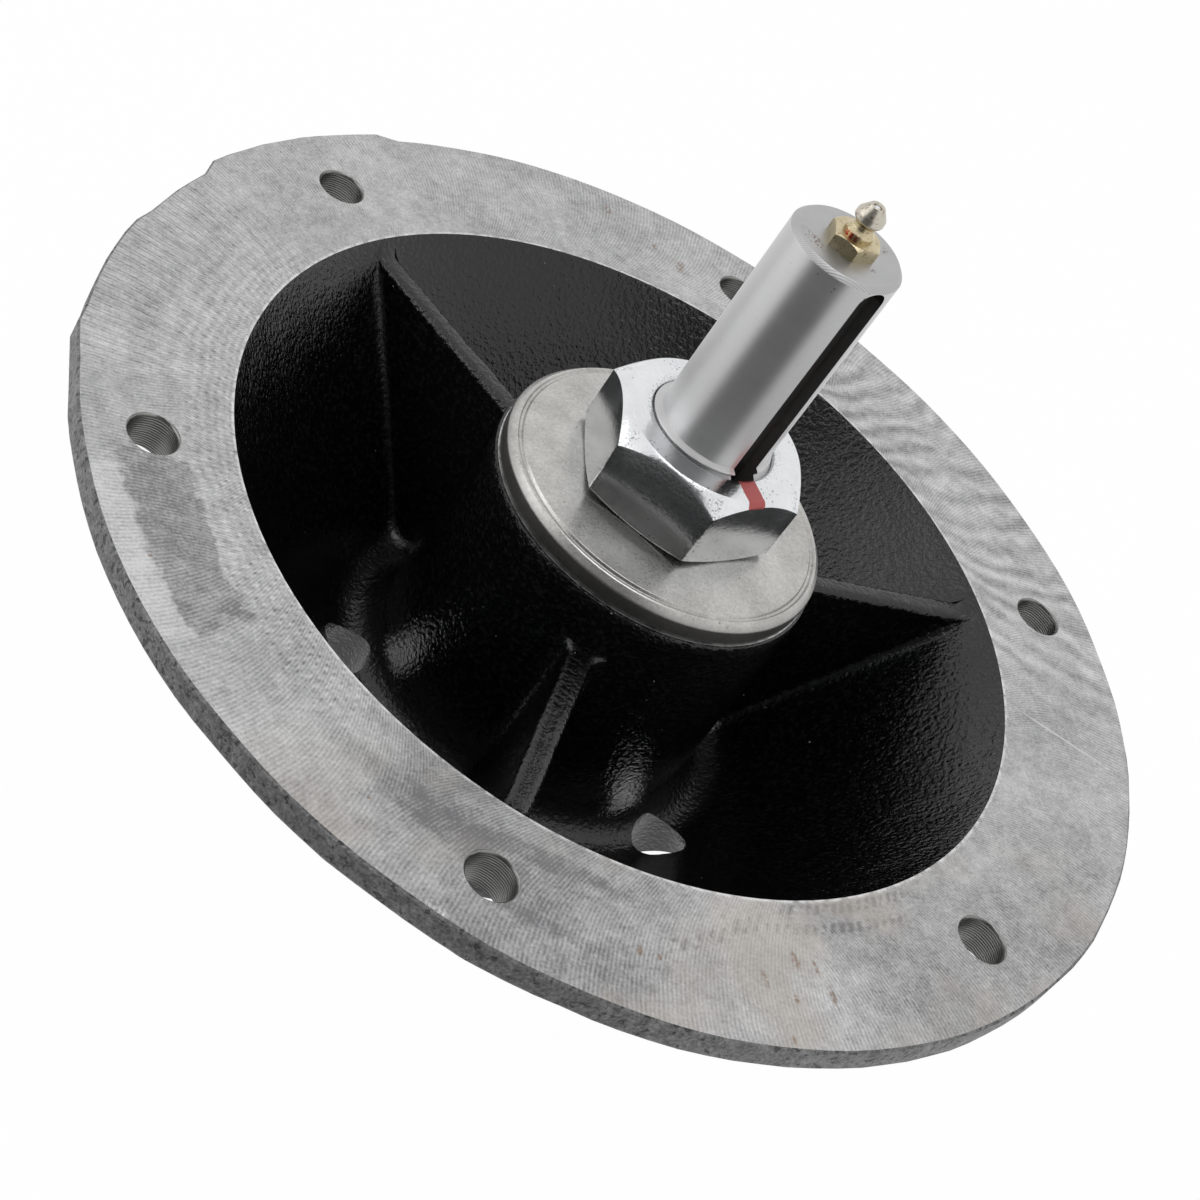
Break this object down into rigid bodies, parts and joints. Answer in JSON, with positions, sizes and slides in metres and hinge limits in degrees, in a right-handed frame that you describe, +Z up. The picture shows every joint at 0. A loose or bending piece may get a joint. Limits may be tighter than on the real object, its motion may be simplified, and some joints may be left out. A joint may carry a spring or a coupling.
{
  "type": "mower deck spindle",
  "caption": "Mower deck spindle: cast iron bowl housing with a wide bolted flange, keyed shaft on tapered roller bearings, jam nut, shield cap and grease fitting.",
  "frame": {"origin": "centre of the machined deck face of the flange, on the shaft's axis", "axes": "+Z up the shaft to the pulley end, +X towards one rib and one bolt hole"},
  "size_m": [0.2564, 0.2564, 0.2001],
  "materials": {
    "black_painted_iron": "gloss",
    "ground_steel": "satin",
    "zinc_plated_steel": "polished",
    "blasted_steel": "matte",
    "yellow_zinc": "satin",
    "bearing_steel": "polished",
    "spring_steel": "satin",
    "pressed_steel": "satin",
    "turned_steel": "satin",
    "seal_rubber": "matte"
  },
  "bodies": {
    "housing": {"spindle_housing": "black_painted_iron", "upper_bearing_outer_ring": "bearing_steel", "lower_bearing_outer_ring": "bearing_steel", "upper_grease_seal": "seal_rubber", "lower_grease_seal": "seal_rubber"},
    "shaft": {"spindle_shaft": "ground_steel", "shield_cap": "blasted_steel", "jam_nut": "zinc_plated_steel", "grease_fitting_body": "yellow_zinc", "grease_check_spring": "spring_steel", "bearing_spacer": "turned_steel", "upper_bearing_inner_ring": "bearing_steel", "lower_bearing_inner_ring": "bearing_steel"},
    "upper_roller_set": {"upper_bearing_rollers": "bearing_steel", "upper_bearing_cage": "pressed_steel"},
    "lower_roller_set": {"lower_bearing_rollers": "bearing_steel", "lower_bearing_cage": "pressed_steel"},
    "check_ball": {"grease_check_ball": "bearing_steel"}
  },
  "joints": [
    {"name": "shaft_spin", "type": "hinge", "parent": "housing", "child": "shaft", "pos_m": [0, 0, 0], "axis": [0, 0, 1], "continuous": true},
    {"name": "upper_roller_set_spin", "type": "hinge", "parent": "housing", "child": "upper_roller_set", "pos_m": [0, 0, -0.0094], "axis": [0, 0, 1], "continuous": true},
    {"name": "lower_roller_set_spin", "type": "hinge", "parent": "housing", "child": "lower_roller_set", "pos_m": [0, 0, -0.0681], "axis": [0, 0, 1], "continuous": true},
    {"name": "check_ball_travel", "type": "slide", "parent": "shaft", "child": "check_ball", "axis": [0, 0, -1], "range_m": [0, 0.0008], "stiffness_N_per_m": 5, "springref_m": -0.0003, "deforming": ["grease_check_spring"]}
  ],
  "couplings": [
    {"joint": "upper_roller_set_spin", "follows": "shaft_spin", "ratio": 0.4278},
    {"joint": "lower_roller_set_spin", "follows": "shaft_spin", "ratio": 0.4278}
  ]
}
